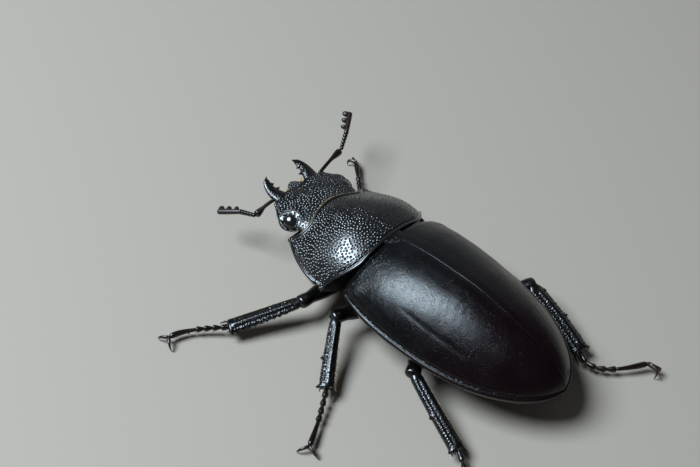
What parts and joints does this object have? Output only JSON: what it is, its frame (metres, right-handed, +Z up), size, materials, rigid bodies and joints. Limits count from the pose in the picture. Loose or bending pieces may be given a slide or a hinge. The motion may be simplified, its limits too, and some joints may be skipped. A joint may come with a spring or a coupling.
{
  "type": "stag beetle",
  "caption": "Life-size standing female stag beetle with a coarsely pitted black shield, satin wing cases, short toothed jaws and elbowed antennae with leafed clubs.",
  "frame": {"origin": "on the floor, below the middle of the model's box", "axes": "+Z up, the head points along -Y, the beetle's left side is +X"},
  "size_m": [0.0286, 0.0376, 0.0082],
  "materials": {
    "black_chitin": "glossy black, coarsely pitted",
    "wing_case": "satin black with a faint red-brown tint towards the tail, finely pitted",
    "eye": "polished black, finely faceted",
    "antenna_club": "dull grey-brown felt of short hairs",
    "underside": "dark brown-black, pitted",
    "claw_horn": "dark red-brown horn",
    "golden_hair": "stiff yellow-brown bristles"
  },
  "bodies": {
    "root": {"abdomen": "underside", "pterothorax": "underside", "prosternum": "underside", "pronotum": "black_chitin", "scutellum": "black_chitin", "head": "black_chitin", "labrum": "black_chitin", "elytron_left": "wing_case", "eye_left": "eye", "mandible_left": "black_chitin", "maxillary_palp_left": "black_chitin", "antenna_scape_left": "black_chitin", "antenna_stalk_left": "black_chitin", "antenna_club_left": "antenna_club", "elytron_right": "wing_case", "eye_right": "eye", "mandible_right": "black_chitin", "maxillary_palp_right": "black_chitin", "antenna_scape_right": "black_chitin", "antenna_stalk_right": "black_chitin", "antenna_club_right": "antenna_club", "coxa_front_left": "black_chitin", "femur_front_left": "black_chitin", "tibia_front_left": "black_chitin", "tarsus_front_left": "black_chitin", "claws_front_left": "claw_horn", "coxa_front_right": "black_chitin", "femur_front_right": "black_chitin", "tibia_front_right": "black_chitin", "tarsus_front_right": "black_chitin", "claws_front_right": "claw_horn", "coxa_middle_left": "black_chitin", "femur_middle_left": "black_chitin", "tibia_middle_left": "black_chitin", "tarsus_middle_left": "black_chitin", "claws_middle_left": "claw_horn", "coxa_middle_right": "black_chitin", "femur_middle_right": "black_chitin", "tibia_middle_right": "black_chitin", "tarsus_middle_right": "black_chitin", "claws_middle_right": "claw_horn", "coxa_hind_left": "black_chitin", "femur_hind_left": "black_chitin", "tibia_hind_left": "black_chitin", "tarsus_hind_left": "black_chitin", "claws_hind_left": "claw_horn", "coxa_hind_right": "black_chitin", "femur_hind_right": "black_chitin", "tibia_hind_right": "black_chitin", "tarsus_hind_right": "black_chitin", "claws_hind_right": "claw_horn"}
  },
  "joints": []
}
